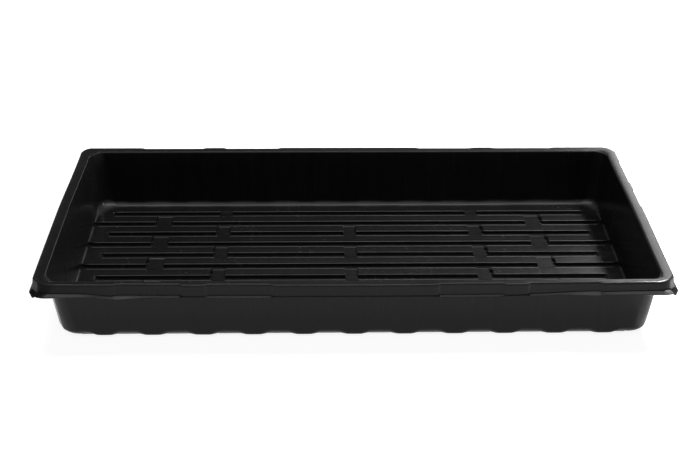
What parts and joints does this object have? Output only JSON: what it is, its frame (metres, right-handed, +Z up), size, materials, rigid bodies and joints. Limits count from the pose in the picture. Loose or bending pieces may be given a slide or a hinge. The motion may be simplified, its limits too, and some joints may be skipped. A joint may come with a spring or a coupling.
{
  "type": "seedling tray",
  "caption": "Shallow oblong black plastic tray with sloping walls, a stepped folded rim with a lip, and a grooved floor without drain holes, for raising seedlings.",
  "frame": {"origin": "middle of the tray's outline, on the plane that the floor ribs stand on", "axes": "+X along the long sides to the right as seen from the front, +Y to the back, +Z up"},
  "size_m": [0.5486, 0.2876, 0.0625],
  "materials": {
    "black_plastic": "satin black with a fine grain and faint rub marks"
  },
  "bodies": {
    "root": {"floor_panel": "black_plastic", "front_wall": "black_plastic", "back_wall": "black_plastic", "left_wall": "black_plastic", "right_wall": "black_plastic", "front_base_edge": "black_plastic", "back_base_edge": "black_plastic", "left_base_edge": "black_plastic", "right_base_edge": "black_plastic", "front_left_corner": "black_plastic", "front_right_corner": "black_plastic", "back_left_corner": "black_plastic", "back_right_corner": "black_plastic", "front_rim": "black_plastic", "back_rim": "black_plastic", "left_rim": "black_plastic", "right_rim": "black_plastic", "front_skirt": "black_plastic", "back_skirt": "black_plastic", "left_skirt": "black_plastic", "right_skirt": "black_plastic", "front_left_rim_corner": "black_plastic", "front_right_rim_corner": "black_plastic", "back_left_rim_corner": "black_plastic", "back_right_rim_corner": "black_plastic"}
  },
  "joints": []
}
